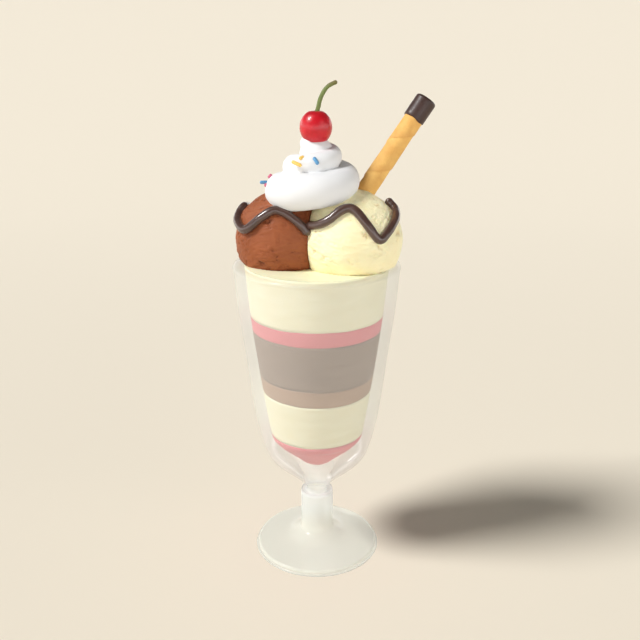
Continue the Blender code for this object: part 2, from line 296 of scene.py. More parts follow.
def ripple(angle, seed, waves=(2, 3, 5, 8, 13)):
    # a smooth uneven line round a circle, between about -1 and 1
    random = np.random.default_rng(seed)
    phases = random.uniform(0, math.tau, len(waves))
    strengths = random.uniform(0.4, 1.0, len(waves)) / np.sqrt(waves)
    total = sum(s * np.sin(w * angle + p) for w, p, s in zip(waves, phases, strengths))
    return total / strengths.sum()


# The glass. Its outline is read off the CAD node, from the middle of the foot up the outside,
# over the rim and down the inside.
glass = {"sides": 160, "steps": 3, "cornerAngle": 50}


def outlineOf(node):
    # the node's vertices in its +X half plane, in the order in which its edges join them
    bm = bmesh.new()
    bm.from_mesh(node.data)
    bmesh.ops.remove_doubles(bm, verts=bm.verts, dist=0.002 * mm)
    flat = {v for v in bm.verts if abs(v.co.y) < 0.002 * mm and v.co.x > -0.002 * mm}
    line = [min(flat, key=lambda v: (v.co.z, v.co.x))]
    while True:
        followers = [e.other_vert(line[-1]) for e in line[-1].link_edges]
        followers = [v for v in followers if v in flat and v not in line]
        if not followers:
            break
        line.append(min(followers, key=lambda v: (v.co - line[-1].co).length))
    points = [(0.0, 0.0)] + [(max(v.co.x, 0.0), v.co.z) for v in line]
    bm.free()
    return points


def smoothOutline(points, steps, cornerAngle):
    # each run between two corners becomes a smooth curve; the corners stay
    runs = [[points[0]]]
    for before, here, after in zip(points, points[1:], points[2:]):
        runs[-1].append(here)
        turn = Vector(here) - Vector(before)
        if math.degrees(turn.angle(Vector(after) - Vector(here))) > cornerAngle:
            runs.append([here])
    runs[-1].append(points[-1])
    curve = [tuple(point) for run in runs for point in through(run, steps)[:-1]]
    return [(max(r, 0.0), max(z, 0.0)) for r, z in curve] + [points[-1]]


glassOutline = smoothOutline(outlineOf(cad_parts["glass"]), glass["steps"], glass["cornerAngle"])
rimHeight = max(height for _, height in glassOutline)
rimEnd = max(i for i, point in enumerate(glassOutline) if point[1] > rimHeight - 0.1 * mm)
rimOutside = max(range(len(glassOutline)), key=lambda i: glassOutline[i][0])
innerWall = np.array(sorted(glassOutline[rimEnd:], key=lambda point: point[1]))
rimTop = np.array(glassOutline[rimEnd:rimOutside:-1])
print("glass outline", len(glassOutline), "points, rim at", round(rimHeight / mm, 1), "mm")


def wallRadius(height):
    return np.interp(height, innerWall[:, 1], innerWall[:, 0])


def insideOutline(points):
    # which (radius, height) points lie in the glass itself, by counting crossings
    outline = np.array(glassOutline)
    inside = np.zeros(len(points), bool)
    for (r0, z0), (r1, z1) in zip(outline, np.roll(outline, -1, axis=0)):
        if z0 != z1:
            crossing = r0 + (points[:, 1] - z0) * (r1 - r0) / (z1 - z0)
            inside ^= ((points[:, 1] < z0) != (points[:, 1] < z1)) & (points[:, 0] < crossing)
    return inside


def pressOnGlass(points, into):
    # points in the glass rise to the top of its rim, and stay just under its surface
    radii = np.hypot(points[:, 0], points[:, 1])
    held = insideOutline(np.stack([radii, points[:, 2]], axis=1))
    points[held, 2] = np.interp(radii[held], rimTop[:, 0], rimTop[:, 1]) - into
    return points


def clearGlass():
    # clear glass with a soft milky haze, denser in the solid stem and foot, and a faint gloss
    look = {
        "bowl": (0.93, 0.97, 0.95), "stem": (0.84, 0.90, 0.90), "foot": (0.87, 0.90, 0.79),
        "haze": 0.22, "solidHaze": 0.20, "edge": 0.18, "gloss": 0.25,
        "stemEnds": (38 * mm, 52 * mm), "footEnds": (14 * mm, 26 * mm), "rimClears": (176 * mm, 177 * mm),
    }
    skin = Finish("clearGlass", Roughness=0.2, IOR=1.45)
    height = skin.parts(skin.place)[2]
    waves = skin.noise(30 * mm, detail=1.0)
    solid = skin.span(height, *look["stemEnds"], 1.0, 0.0)
    tone = skin.mixed(solid, look["bowl"], look["stem"])
    tone = skin.mixed(skin.span(height, *look["footEnds"], 1.0, 0.0), tone, look["foot"])
    tone = skin.mixed(0.1 * waves, tone, (0.75, 0.80, 0.78))
    facing = skin.node("ShaderNodeLayerWeight", values={"Blend": 0.35}, output=1)
    alpha = look["haze"] + look["solidHaze"] * solid + look["edge"] * facing ** 3 + 0.03 * waves
    alpha = alpha * skin.span(height, *look["rimClears"], 1.0, 0.5)
    skin.wear(Base_Color=tone, Alpha=alpha)
    shine = skin.node("ShaderNodeBsdfGlossy", values={"Roughness": 0.08})
    fresnel = skin.node("ShaderNodeFresnel", values={"IOR": 1.45})
    values = {0: skin.clamped(fresnel * look["gloss"]), 1: Wire(skin, skin.shader.outputs[0]), 2: shine}
    both = skin.node("ShaderNodeMixShader", values=values)
    skin.feed(skin.tree.nodes["Material Output"].inputs["Surface"], both)
    return skin.material


glassPiece = addPiece("sundaeGlass", turnedSkin("sundaeGlass", glassOutline, glass["sides"]))
glassPiece.visible_shadow = False  # clear glass lets the light through
glassPiece.visible_diffuse = False
hand(glassPiece, clearGlass(), "glass", "glass")


# The layers of ice cream, pressed against the glass up to slightly uneven borders.
layers = {
    "sides": 192,
    "rows": 14,
    "rings": 26,
    "borderWaves": 0.35 * mm,
    "intoWall": 0.25 * mm,
    "topWaves": 0.5 * mm,
    "pocketLift": 0.4 * mm,  # how far a scoop sinks into the bed under it
    "flavours": {
        "layer_1_strawberry": "strawberry",
        "layer_2_vanilla": "vanilla",
        "layer_3_caramel": "caramel",
        "layer_4_chocolate": "chocolate_cream",
        "layer_5_strawberry": "strawberry",
        "layer_6_vanilla": "vanilla",
    },
}
creams = {  # the deep and the light tone of each layered ice cream, and its flecks
    "strawberry": ((0.57, 0.135, 0.15), (0.67, 0.19, 0.205), (0.48, 0.05, 0.07)),
    "vanilla": ((0.70, 0.645, 0.43), (0.77, 0.73, 0.53), (0.74, 0.68, 0.46)),
    "caramel": ((0.32, 0.19, 0.115), (0.405, 0.255, 0.165), (0.28, 0.15, 0.08)),
    "chocolate_cream": ((0.205, 0.13, 0.09), (0.265, 0.18, 0.13), (0.16, 0.09, 0.06)),
}


def pressedCream(flavour):
    # ice cream seen through glass: fine ice grain, soft streaks and a few air pores, painted darker as
    # shade in their hollows
    deep, light, fleck = creams[flavour]
    skin = Finish("pressed_" + flavour, Subsurface_Weight=0.25, Subsurface_Scale=2 * mm, IOR=1.35)
    skin.shader.inputs["Subsurface Radius"].default_value = (1.0, 0.7, 0.5)
    streaks = skin.noiseAt(skin.moved(turn=(0.1, 0.15, 0), scale=(1, 1, 4)), 16 * mm, detail=4)
    grain = skin.noise(0.9 * mm, detail=3, roughness=0.6)
    tone = skin.clamped(0.65 * skin.span(streaks, 0.3, 0.7) + 0.35 * grain)
    base = skin.mixed(tone, deep, light)
    specks = skin.span(skin.noise(1.7 * mm, detail=1), 0.68, 0.74)
    cells = skin.node("ShaderNodeTexVoronoi", values={"Vector": skin.place, "Scale": 1 / (3.2 * mm)})
    shadedPores = skin.span(cells, 0.05, 0.13, 1.0, 0.0)
    colour = skin.mixed(specks * 0.35, base, fleck)
    # painted shade: the pores are darkened towards the deep tone, as shade in their hollows
    colour = skin.mixed(shadedPores * 0.3, colour, deep)
    if flavour == "vanilla":  # painted light: the open top is painted paler, as if lit from above
        # painted light: a mask over the top of the filling, where a paler colour stands in for the light
        # falling on it
        paintedLitTop = skin.span(skin.parts(skin.place)[2], 176 * mm, 176.8 * mm)
        colour = skin.mixed(paintedLitTop * (0.8 + 0.2 * tone), colour, (0.94, 0.93, 0.63))
    bump = skin.bumps(grain * 0.5 - shadedPores, 0.12 * mm)
    rough = skin.clamped(0.42 + 0.25 * grain + 0.1 * shadedPores)
    return skin.wear(Base_Color=colour, Roughness=rough, Normal=bump)


def ballOf(node):
    # the centre and radius of the ball that a CAD scoop was cut from
    points = pointsOf(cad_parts[node].data)
    held = points
    for _ in range(8):
        matrix = np.c_[2 * held, np.ones(len(held))]
        answer = np.linalg.lstsq(matrix, (held**2).sum(1), rcond=None)[0]
        centre = answer[:3]
        radius = math.sqrt(answer[3] + centre @ centre)
        misses = np.abs(np.linalg.norm(points - centre, axis=1) - radius)
        held = points[misses < max(np.quantile(misses, 0.6), 0.02 * mm)]
    return centre, radius


balls = {name: ballOf(name) for name in ("scoop_chocolate", "scoop_vanilla")}
for name, (centre, radius) in balls.items():
    print(name, "ball at", [round(v / mm, 1) for v in centre], "radius", round(radius / mm, 1))


def bedHeight(x, y, top, angle, share):
    # the top of the filling: soft waves, a low edge at the glass, and a pocket under each scoop
    wave = ripple(angle * 2, 21) * share + ripple(share * 6 + angle, 22)
    height = top + layers["topWaves"] * (0.5 * wave - 0.4)
    for centre, radius in balls.values():
        inside = radius**2 - (x - centre[0]) ** 2 - (y - centre[1]) ** 2
        if inside > 0:
            height = min(height, centre[2] - math.sqrt(inside) + layers["pocketLift"])
    return height


def layerMesh(name, bottom, top, seeds, isTop):
    # rings up from the bottom disc, up the side along the wall, and in over the top disc
    rows = []
    angles = [math.tau * j / layers["sides"] for j in range(layers["sides"])]
    tip = innerWall[0][1] + 0.1 * mm

    def border(height, angle, seed):
        return height + layers["borderWaves"] * ripple(angle, seed) if seed else height

    def ringAt(share, height, seed, capped):
        ring = []
        for angle in angles:
            z = border(height, angle, seed)
            radius = (wallRadius(z) + layers["intoWall"]) * share
            x, y = radius * math.cos(angle), radius * math.sin(angle)
            ring.append((x, y, bedHeight(x, y, height, angle, share) if capped else z))
        return ring

    low = max(bottom, tip)
    rows.append([(0, 0, low)])
    if seeds[0]:
        rows += [ringAt(share, low, seeds[0], False) for share in (0.35, 0.7, 0.9)]
    for i in range(layers["rows"] + 1):
        rise = i / layers["rows"]
        ring = []
        for angle in angles:
            start, end = border(low, angle, seeds[0]), border(top, angle, seeds[1])
            if isTop:
                end = bedHeight(0, -1, top, angle, 1.0)
            z = start + (end - start) * rise
            radius = wallRadius(z) + layers["intoWall"]
            if not seeds[0]:
                radius *= min(1.0, math.sqrt(rise * 6))
            ring.append((radius * math.cos(angle), radius * math.sin(angle), z))
        if seeds[0] or i:
            rows.append(ring)
    count = layers["rings"] if isTop else 4
    for i in range(1, count):
        rows.append(ringAt(1 - (i / count) ** 1.2, top, seeds[1], isTop))
    rows.append([(0, 0, bedHeight(0, 0, top, 0, 0) if isTop else top)])
    return skinOver(rows, name)


boxes = {node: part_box(node) for node in layers["flavours"]}
names = list(layers["flavours"])
tops = [(boxes[a][1].z + boxes[b][0].z) / 2 for a, b in zip(names, names[1:])]
tops.append(boxes[names[-1]][1].z)
finishes = {flavour: pressedCream(flavour) for flavour in creams}
bottom = boxes[names[0]][0].z
for i, (node, flavour) in enumerate(layers["flavours"].items()):
    last = node == names[-1]
    mesh = layerMesh("cream_" + node, bottom, tops[i], (i, 0 if last else i + 1), last)
    hand(addPiece("cream_" + node, mesh), finishes[flavour], flavour, node)
    bottom = tops[i]


def paint(red, green, blue):
    # a colour as a paint chart gives it, 0 to 255, as the linear value that the shaders mix
    chart = [value / 255 for value in (red, green, blue)]
    return tuple(v / 12.92 if v < 0.04 else ((v + 0.055) / 1.055) ** 2.4 for v in chart)


def pathMesh(points):
    mesh = bpy.data.meshes.new("path")
    mesh.from_pydata([tuple(p) for p in points], [(i, i + 1) for i in range(len(points) - 1)], [])
    return mesh


# The two big scoops: balls with soft lumps, marks from the scoop's edge and small crags.
scoops = {
    "subdivisions": 7,
    "lumpSize": 22 * mm,
    "lumpDepth": 1.1 * mm,
    "scrapeSize": 9 * mm,
    "scrapeDepth": 0.55 * mm,
    "scrapeStretch": 3.5,
    "cragSize": 3.4 * mm,
    "cragDepth": 0.75 * mm,
    "pressInto": 0.1 * mm,
    "gap": 0.15 * mm,
}


def scoopTree():
    tree = Grower(
        "scoop", radius=25 * mm, lumpSize=22 * mm, lumpDepth=1 * mm, scrapeSize=9 * mm,
        scrapeDepth=0.5 * mm, scrapeStretch=3.0, cragSize=3 * mm, cragDepth=0.5 * mm,
        turn=0.0, lean=0.0, subdivisions=7,
    )
    given = tree.given
    values = {"Radius": given["radius"], "Subdivisions": given["subdivisions"]}
    ball = tree.node("GeometryNodeMeshIcoSphere", values=values)
    turned = tree.joined(given["lean"], 0.0, given["turn"])
    settings = {"rotation_type": "EULER_XYZ"}
    values = {"Vector": tree.place, "Rotation": turned}
    place = tree.node("ShaderNodeVectorRotate", settings, values)
    lumps = tree.noiseAt(place, given["lumpSize"], detail=1.0)
    stretch = tree.joined(1.0, 1.0, given["scrapeStretch"])
    lengthways = tree.vector("MULTIPLY", place, stretch)
    wave = tree.noiseAt(lengthways, given["scrapeSize"], detail=2.0, distortion=0.4)
    scrape = 1.0 - tree.math("ABSOLUTE", wave * 5.0 - 2.5)
    crag = tree.noiseAt(place, given["cragSize"], detail=3.0, roughness=0.6, distortion=0.5)
    patch = tree.clamped(tree.noiseAt(place, given["lumpSize"] * 0.6) * 4.0 - 1.4)
    pits = tree.math("MAXIMUM", crag - 0.52, 0.0) * 6.0 * patch
    height = (lumps - 0.5) * 2.0 * given["lumpDepth"]
    height = height + scrape * given["scrapeDepth"] * (0.35 + 0.65 * patch)
    height = height - pits * given["cragDepth"] - given["scrapeDepth"] * 0.4
    # painted light and shade: a stored mask, high on the scraped ridges and low in the pits, by which the
    # shader paints the ridges paler and the pits darker
    low = tree.clamped(0.5 + 0.35 * scrape - 0.7 * pits)
    values = {"Geometry": ball, "Name": "peak", "Value": low}
    marked = tree.node("GeometryNodeStoreNamedAttribute", values=values)
    normal = tree.node("GeometryNodeInputNormal")
    values = {"Geometry": marked, "Offset": tree.scaled(normal, height)}
    return tree.close(tree.node("GeometryNodeSetPosition", values=values))


def scoopedCream(name, deep, light, pitShadeColour, gloss):
    # scooped ice cream: icy grain, with painted light making the scraped ridges paler and painted shade
    # making the pits darker
    skin = Finish(name, Subsurface_Weight=0.2, Subsurface_Scale=2 * mm, IOR=1.35)
    skin.shader.inputs["Subsurface Radius"].default_value = (1.0, 0.6, 0.35)
    peak = skin.node("ShaderNodeAttribute", {"attribute_name": "peak"}, output=2)
    swirl = skin.noise(14 * mm, detail=3)
    grain = skin.noise(0.8 * mm, detail=3, roughness=0.65)
    # painted light: the ridges are made paler through the stored mask
    tone = skin.clamped(0.5 * peak + 0.35 * skin.span(swirl, 0.35, 0.65) + 0.25 * grain)
    colour = skin.mixed(tone, deep, light)
    # painted shade: the pits are darkened towards the pit colour
    pitShadeMask = skin.span(peak, 0.12, 0.4, 1.0, 0.0)
    colour = skin.mixed(pitShadeMask * 0.6, colour, pitShadeColour)
    crystals = skin.noise(1.6 * mm, detail=2)
    rough = skin.clamped(gloss + 0.2 * grain + 0.15 * pitShadeMask)
    bump = skin.bumps(grain * 0.6 + crystals * 0.4, 0.22 * mm)
    return skin.wear(Base_Color=colour, Roughness=rough, Normal=bump)


# each scoop's deep and light tone, and the darker colour painted into its pits as shade
chocolateIce = scoopedCream(
    "chocolateIceCream", paint(121, 60, 31), paint(160, 90, 52), paint(80, 40, 24), 0.45
)
vanillaIce = scoopedCream(
    "vanillaIceCream", paint(244, 228, 178), paint(255, 246, 206), paint(228, 204, 148), 0.42
)


def makeScoop(name, node, finish, slot, turn, lean):
    centre, radius = balls[node]
    other = [ball for key, ball in balls.items() if key != node][0]
    sizes = {key: value for key, value in scoops.items() if key not in ("pressInto", "gap")}
    piece = scoopTree().grow(name, finish=finish, radius=radius, turn=turn, lean=lean, **sizes)
    points = pointsOf(piece.data) + centre
    across = other[0] - centre
    distance = np.linalg.norm(across)
    across /= distance
    reach = (distance**2 + radius**2 - other[1] ** 2) / (2 * distance) - scoops["gap"]
    past = np.maximum((points - centre) @ across - reach, 0.0)
    points -= past[:, None] * across
    movePoints(piece.data, pressOnGlass(points, scoops["pressInto"]))
    hand(piece, finish, slot, node)


makeScoop("chocolateScoop", "scoop_chocolate", chocolateIce, "chocolate_ice", 0.4, 0.5)
makeScoop("vanillaScoop", "scoop_vanilla", vanillaIce, "vanilla_ice", 2.1, -0.4)


# Whipped cream: one rope that winds up and inwards, its turns melting into each other.
swirl = {
    "reach": 25.1 * mm,  # how far the first turn reaches from the axis
    "reachStep": 9.5 * mm,  # how much less the next turn reaches
    "height": 219.1 * mm,
    "rise": 12.7 * mm,
    "width": 7.9 * mm,
    "widthStep": 2.9 * mm,
    "tallness": 1.18,
    "firstTurn": 0.40,
    "lastTurn": 2.90,
    "rounding": 0.18,
    "widest": 0.70,
    "middle": 6.5 * mm,
    "waves": 0.035,
    "count": 420,
}
creamCore = [(221, 13, 12), (235, 9, 10)]  # height, half width and half height in mm
creamVoxel = 0.45 * mm


def swirlTree():
    names = [key for key in swirl if key != "count"]
    tree = Grower("whippedSwirl", count=400, **{key: swirl[key] for key in names})
    given = tree.given
    offset = tree.joined(1.0 / (given["count"] - 1.0), 0.0, 0.0)
    line = tree.node("GeometryNodeMeshLine", values={"Count": given["count"], "Offset": offset})
    share = tree.parts(tree.place)[0]
    turn = given["firstTurn"] + (given["lastTurn"] - given["firstTurn"]) * share
    wide = tree.math("MAXIMUM", turn, given["widest"]) - 1.0
    width = given["width"] - given["widthStep"] * wide
    radius = given["reach"] - given["reachStep"] * wide - width
    grown = tree.clamped((turn - given["firstTurn"]) / given["rounding"])
    size = tree.math("SQRT", tree.clamped(1.0 - (1.0 - grown) * (1.0 - grown)))
    radius = given["middle"] + (radius - given["middle"]) * size
    height = given["height"] + given["rise"] * (turn - 1.0)
    azimuth = (turn - 0.25) * math.tau
    x, y = tree.math("COSINE", azimuth) * radius, tree.math("SINE", azimuth) * radius
    wobble = tree.noiseAt(tree.place, 0.05, detail=1.0)
    full = width * tree.math("MAXIMUM", size, 0.03) * (1.0 + given["waves"] * (wobble * 2.0 - 1.0))
    values = {"Geometry": line, "Name": "width", "Value": full}
    marked = tree.node("GeometryNodeStoreNamedAttribute", values=values)
    values = {"Geometry": marked, "Position": tree.joined(x, y, height)}
    placed = tree.node("GeometryNodeSetPosition", values=values)
    curve = tree.node("GeometryNodeMeshToCurve", values={"Mesh": placed})
    upright = tree.node("GeometryNodeSetCurveNormal", {"mode": "Z_UP"}, {"Curve": curve})
    ring = tree.node("GeometryNodeCurvePrimitiveCircle", values={"Resolution": 32, "Radius": 1.0})
    tall = tree.joined(1.0, given["tallness"], 1.0)
    section = tree.node("GeometryNodeTransform", values={"Geometry": ring, "Scale": tall})
    stored = tree.node("GeometryNodeInputNamedAttribute", values={"Name": "width"})
    values = {"Curve": upright, "Profile Curve": section, "Scale": stored, "Fill Caps": True}
    rope = tree.node("GeometryNodeCurveToMesh", values=values)
    pieces = [rope]
    for height, wide, tall in creamCore:
        values = {"Segments": 48, "Rings": 32, "Radius": 1.0}
        ball = tree.node("GeometryNodeMeshUVSphere", values=values)
        values = {"Geometry": ball, "Translation": (0, 0, height * mm)}
        values["Scale"] = (wide * mm, wide * mm, tall * mm)
        pieces.append(tree.node("GeometryNodeTransform", values=values))
    joined = tree.tree.nodes.new("GeometryNodeJoinGeometry")
    for piece in pieces:
        tree.tree.links.new(piece.socket, joined.inputs[0])
    return tree.close(Wire(tree, joined.outputs[0]))


def whippedFinish():
    # smooth whipped cream with a soft satin gloss
    skin = Finish("whippedCream", Subsurface_Weight=1.0, Subsurface_Scale=12 * mm, IOR=1.38)
    skin.shader.inputs["Subsurface Radius"].default_value = (1.0, 0.9, 0.75)
    soft = skin.noise(9 * mm, detail=3)
    foam = skin.noise(0.7 * mm, detail=2, roughness=0.6)
    colour = skin.mixed(soft, paint(253, 252, 248), paint(255, 255, 254))
    colour = skin.mixed(skin.span(foam, 0.62, 0.75) * 0.12, colour, paint(240, 234, 222))
    bump = skin.bumps(foam, 0.06 * mm, skin.bumps(soft, 0.5 * mm))
    return skin.wear(Base_Color=colour, Roughness=0.38 + 0.14 * foam, Normal=bump)


def makeWhippedCream():
    finish = whippedFinish()
    piece = swirlTree().grow("whippedCream", finish=finish, **swirl)
    melt = piece.modifiers.new("melt", "REMESH")
    melt.mode = "VOXEL"
    melt.voxel_size = creamVoxel
    soften = piece.modifiers.new("soften", "SMOOTH")
    soften.factor = 0.5
    soften.iterations = 6
    settle(piece)
    hand(piece, finish, "whipped_cream", "whipped_cream")


makeWhippedCream()


# The cherry: a ball a little taller than wide, dimpled at the stalk, with a faint seam.
cherry = {
    "centre": (-0.3 * mm, -1 * mm, 249.3 * mm),
    "radius": 8.5 * mm,
    "halfHeight": 8.85 * mm,
    "dimpleDepth": 1.6 * mm,
    "dimpleWidth": 2.5 * mm,
    "seamDepth": 0.25 * mm,
    "seamSide": 2.2,  # radians from +X
    "sides": 112,
    "rings": 72,
}


def cherryMesh():
    rows = []
    for i in range(cherry["rings"] + 1):
        polar = math.pi * i / cherry["rings"]
        count = 1 if i in (0, cherry["rings"]) else cherry["sides"]
        ring = []
        for j in range(count):
            angle = math.tau * j / cherry["sides"]
            off = math.atan2(math.sin(angle - cherry["seamSide"]), math.cos(angle - cherry["seamSide"]))
            seam = cherry["seamDepth"] * math.exp(-((off / 0.16) ** 2)) * math.sin(polar)
            lumps = 0.10 * mm * ripple(angle, 5, (2, 3, 4)) * math.sin(polar)
            radius = (cherry["radius"] + lumps - seam) * math.sin(polar) ** 0.96
            dip = cherry["dimpleDepth"] * math.exp(-((radius / cherry["dimpleWidth"]) ** 2) * 1.6)
            height = cherry["halfHeight"] * -math.cos(polar)
            height -= dip if polar > math.pi / 2 else -0.05 * dip
            ring.append((radius * math.cos(angle), radius * math.sin(angle), height))
        rows.append([tuple(Vector(point) + Vector(cherry["centre"])) for point in ring])
    return skinOver(rows, "redCherry")


def cherryFinish():
    # a glossy preserved cherry, a little deeper in tone round the dimple and in soft mottles
    skin = Finish("cherrySkin", IOR=1.45, Coat_IOR=1.4, Coat_Roughness=0.08)
    skin.shader.inputs["Subsurface Weight"].default_value = 0.15
    skin.shader.inputs["Subsurface Scale"].default_value = 1.5 * mm
    mottle = skin.noise(4 * mm, detail=4, roughness=0.6)
    specks = skin.span(skin.noise(0.7 * mm, detail=1), 0.66, 0.72)
    height = skin.parts(skin.place)[2]
    top = skin.span(height, cherry["centre"][2] + 4 * mm, cherry["centre"][2] + 8 * mm)
    colour = skin.mixed(skin.span(mottle, 0.3, 0.7), paint(184, 12, 28), paint(210, 24, 40))
    colour = skin.mixed(top * 0.35, colour, paint(150, 18, 30))
    colour = skin.mixed(specks * 0.3, colour, paint(222, 70, 74))
    bump = skin.bumps(mottle, 0.1 * mm)
    coat = skin.clamped(0.2 + 0.2 * mottle)
    return skin.wear(Base_Color=colour, Roughness=0.3 + 0.12 * mottle, Coat_Weight=coat, Normal=bump)


hand(addPiece("redCherry", cherryMesh()), cherryFinish(), "cherry", "cherry")


# Ropes: the cherry's stalk and the two loops of sauce are one rule along different paths.
ropes = {
    "stalk": {
        "route": [(0.2, 254.6), (0.3, 257.1), (1.0, 259.7), (1.8, 263.0), (3.5, 266.7), (6.1, 269.8),
                  (10.6, 272.0)],
        "depth": -1.0,
        "radius": 1.12 * mm,
        "startScale": 1.1,
        "endScale": 0.94,
        "waist": 0.04,
        "unevenness": 0.06,
        "lumpSize": 3 * mm,
        "spacing": 0.2 * mm,
        "sides": 20,
    },
    "sauce": {
        "radius": 2.32 * mm,
        "startScale": 1.0,
        "endScale": 1.0,
        "waist": 0.0,
        "unevenness": 0.14,
        "lumpSize": 9 * mm,
        "spacing": 0.3 * mm,
        "sides": 32,
    },
}
sauceLift = 1.2 * mm  # the middle of a loop lies this far off the scoop's ball
# where each loop passes: degrees round from the front, and up from the middle of its scoop
sauceLeft = [(-126, 33), (-112, 36), (-98, 37.5), (-88, 29.5), (-66, 21.5), (-46, 18.5), (-29, 33),
             (-13, 43.2), (2, 41.3), (14, 34), (25, 23.5), (32, 13)]
sauceRight = [(-62, 22.5), (-45, 25.2), (-31, 32.5), (-19, 43.5), (-6, 47.6), (5, 42.5), (16, 28),
              (25, 14.5), (31, 12), (39, 17), (54, 25.5), (72, 32.5), (91, 38), (97, 50)]


def ropeTree():
    tree = Grower(
        "rope", radius=1 * mm, startScale=1.0, endScale=1.0, waist=0.0, unevenness=0.1,
        lumpSize=5 * mm, spacing=0.3 * mm, sides=16,
    )
    given = tree.given
    curve = tree.node("GeometryNodeMeshToCurve", values={"Mesh": given["Geometry"]})
    values = {"Curve": curve, "Length": given["spacing"]}
    fine = tree.node("GeometryNodeResampleCurve", {"mode": "LENGTH"}, values)
    share = tree.node("GeometryNodeSplineParameter")
    length = tree.node("GeometryNodeSplineLength")
    fromEnd = tree.math("MINIMUM", share, 1.0 - share) * length
    inner = 1.0 - tree.clamped(fromEnd / given["radius"])
    rounded = tree.math("SQRT", tree.clamped(1.0 - inner * inner))
    taper = given["startScale"] + (given["endScale"] - given["startScale"]) * share
    waist = 1.0 - given["waist"] * tree.math("SINE", share * math.pi)
    lumps = tree.noiseAt(tree.place, given["lumpSize"], detail=1.0) * 2.0 - 1.0
    size = rounded * taper * waist * (1.0 + given["unevenness"] * lumps)
    values = {"Resolution": given["sides"], "Radius": given["radius"]}
    ring = tree.node("GeometryNodeCurvePrimitiveCircle", values=values)
    values = {"Curve": fine, "Profile Curve": ring, "Scale": size, "Fill Caps": True}
    rope = tree.node("GeometryNodeCurveToMesh", values=values)
    values = {"Geometry": rope, "Distance": 0.004 * mm}
    return tree.close(tree.node("GeometryNodeMergeByDistance", values=values))


def stalkFinish():
    # a green stalk, browner at the cut end and in fine streaks
    skin = Finish("cherryStalk", IOR=1.45)
    streaks = skin.noiseAt(skin.moved(scale=(1, 1, 0.25)), 0.5 * mm, detail=3)
    height = skin.parts(skin.place)[2]
    end = skin.span(height, 269 * mm, 272 * mm)
    colour = skin.mixed(streaks, paint(88, 102, 48), paint(128, 142, 80))
    colour = skin.mixed(end * 0.6, colour, paint(112, 84, 46))
    bump = skin.bumps(streaks, 0.1 * mm)
    return skin.wear(Base_Color=colour, Roughness=0.4 + 0.2 * streaks, Normal=bump)


def sauceFinish():
    # thick chocolate sauce, glossy, with faint streaks
    skin = Finish("chocolateSauce", IOR=1.5, Coat_IOR=1.45, Coat_Roughness=0.06)
    streaks = skin.noise(5 * mm, detail=3, distortion=0.8)
    fine = skin.noise(1.2 * mm, detail=2)
    colour = skin.mixed(streaks, paint(62, 40, 33), paint(88, 62, 54))
    bump = skin.bumps(streaks + fine * 0.3, 0.3 * mm)
    coat = skin.clamped(0.7 + 0.3 * streaks)
    return skin.wear(Base_Color=colour, Roughness=0.28 + 0.12 * fine, Coat_Weight=coat, Normal=bump)


def overScoop(name, route):
    # a loop's path: off the named scoop's ball, and clear of both balls
    centre, radius = balls[name]
    path = []
    for azimuth, rise in through(route, 6):
        azimuth, rise = math.radians(azimuth), math.radians(rise)
        way = np.array([math.sin(azimuth), -math.cos(azimuth), math.tan(rise)])
        point = centre + way / np.linalg.norm(way) * (radius + sauceLift)
        for middle, size in balls.values():
            off = point - middle
            point = middle + off * max(1.0, (size + sauceLift) / np.linalg.norm(off))
        path.append(point)
    return path


def makeRope(name, path, sizes, finish, slot, node):
    numbers = {key: value for key, value in sizes.items() if key not in ("route", "depth")}
    piece = ropeTree().grow(name, pathMesh(path), finish=finish, **numbers)
    hand(piece, finish, slot, node)


stalk = ropes["stalk"]
stalkPath = through([(x * mm, stalk["depth"] * mm, z * mm) for x, z in stalk["route"]], 6)
makeRope("cherryStalk", stalkPath, stalk, stalkFinish(), "stalk", "cherry_stalk")
sauce = sauceFinish()
sauceSizes = ropes["sauce"]
leftPath = overScoop("scoop_chocolate", sauceLeft)
makeRope("sauceLeft", leftPath, sauceSizes, sauce, "chocolate_sauce", "sauce_left")
rightPath = overScoop("scoop_vanilla", sauceRight)
makeRope("sauceRight", rightPath, sauceSizes, sauce, "chocolate_sauce", "sauce_right")


# The wafer: a sheet rolled up aslant, so that its edge winds round it, dipped in chocolate.
wafer = {
    "radius": 5.2 * mm,
    "lap": 0.36 * mm,
    "pitch": 21 * mm,
    "sides": 120,
    "steps": 190,
    "waves": 0.12 * mm,
    "entry": (27.6 * mm, 5 * mm, 217.6 * mm),
    "lean": (0.554, 0.094, 0.827),
    "buried": 17 * mm,
    "shown": 42.7 * mm,
    "insideDip": 5 * mm,
    "dipLength": 12.3 * mm,
    "dipRadius": 5.8 * mm,
    "drip": 0.5 * mm,
}


def waferTree():
    tree = Grower(
        "rolledWafer", radius=4 * mm, lap=0.4 * mm, pitch=18 * mm, length=50 * mm,
        waves=0.1 * mm, sides=90, steps=100,
    )
    given = tree.given
    values = {
        "Vertices": given["sides"], "Side Segments": given["steps"], "Fill Segments": 3,
        "Radius": given["radius"], "Depth": given["length"],
    }
    stick = tree.node("GeometryNodeMeshCylinder", values=values)
    x, y, z = tree.parts(tree.place)
    angle = tree.math("ARCTAN2", y, x)
    round_ = tree.math("FRACT", angle / math.tau + 0.0005)
    around = tree.math("SQRT", x * x + y * y)
    share = around / given["radius"]
    wave = tree.noiseAt(tree.place, 14 * mm, detail=1.0) * 2.0 - 1.0
    grown = around + share * (given["lap"] * (round_ - 0.5) + given["waves"] * wave)
    wound = angle + z / given["pitch"] * math.tau
    place = tree.joined(tree.math("COSINE", wound) * grown, tree.math("SINE", wound) * grown, z)
    values = {"Geometry": stick, "Name": "lapPhase", "Value": round_}
    marked = tree.node("GeometryNodeStoreNamedAttribute", values=values)
    values = {"Geometry": marked, "Position": place}
    return tree.close(tree.node("GeometryNodeSetPosition", values=values))


